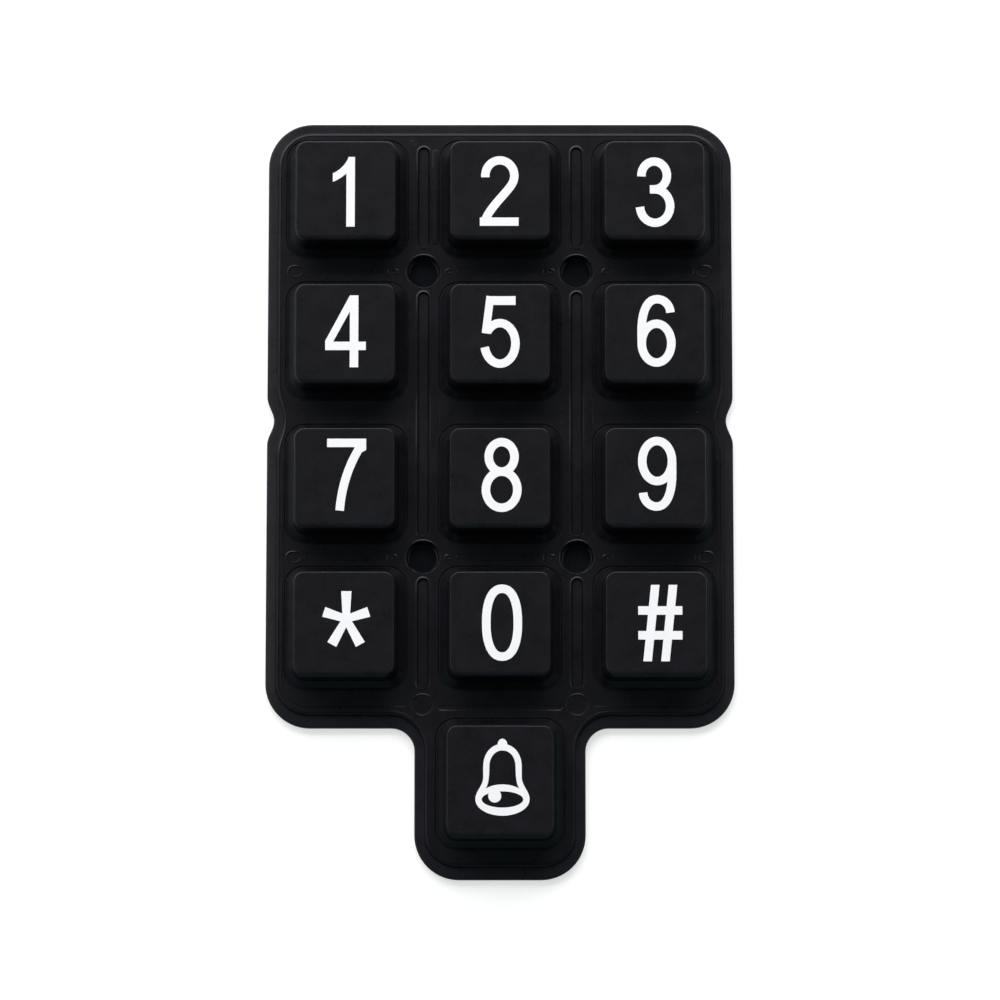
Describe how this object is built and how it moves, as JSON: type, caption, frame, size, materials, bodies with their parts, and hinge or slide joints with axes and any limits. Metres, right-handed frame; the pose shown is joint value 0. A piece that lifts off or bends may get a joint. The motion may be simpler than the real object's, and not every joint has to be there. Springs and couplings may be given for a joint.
{
  "type": "silicone rubber keypad",
  "caption": "Moulded silicone rubber telephone keypad mat: square raised keys with printed digits, star and hash, and a tab with a bell call key.",
  "frame": {"origin": "middle of the mat's outline, on its underside", "axes": "+X to the 3-6-9 column, +Y to the 1-2-3 row, +Z out of the printed key tops"},
  "size_m": [0.058, 0.0948, 0.0081],
  "materials": {
    "silicone": "dark, bluish black moulded silicone rubber, satin matt",
    "carbon_pill": "conductive carbon-filled silicone rubber, matt",
    "ink": "screen-printed white silicone ink, matt"
  },
  "bodies": {
    "root": {"keypad_mat": "silicone", "contact_pill_1": "carbon_pill", "contact_pill_2": "carbon_pill", "contact_pill_3": "carbon_pill", "contact_pill_4": "carbon_pill", "contact_pill_5": "carbon_pill", "contact_pill_6": "carbon_pill", "contact_pill_7": "carbon_pill", "contact_pill_8": "carbon_pill", "contact_pill_9": "carbon_pill", "contact_pill_star": "carbon_pill", "contact_pill_0": "carbon_pill", "contact_pill_hash": "carbon_pill", "contact_pill_bell": "carbon_pill", "legend_1": "ink", "legend_2": "ink", "legend_3": "ink", "legend_4": "ink", "legend_5": "ink", "legend_6": "ink", "legend_7": "ink", "legend_8": "ink", "legend_9": "ink", "legend_star": "ink", "legend_0": "ink", "legend_hash": "ink", "legend_bell": "ink"}
  },
  "joints": []
}
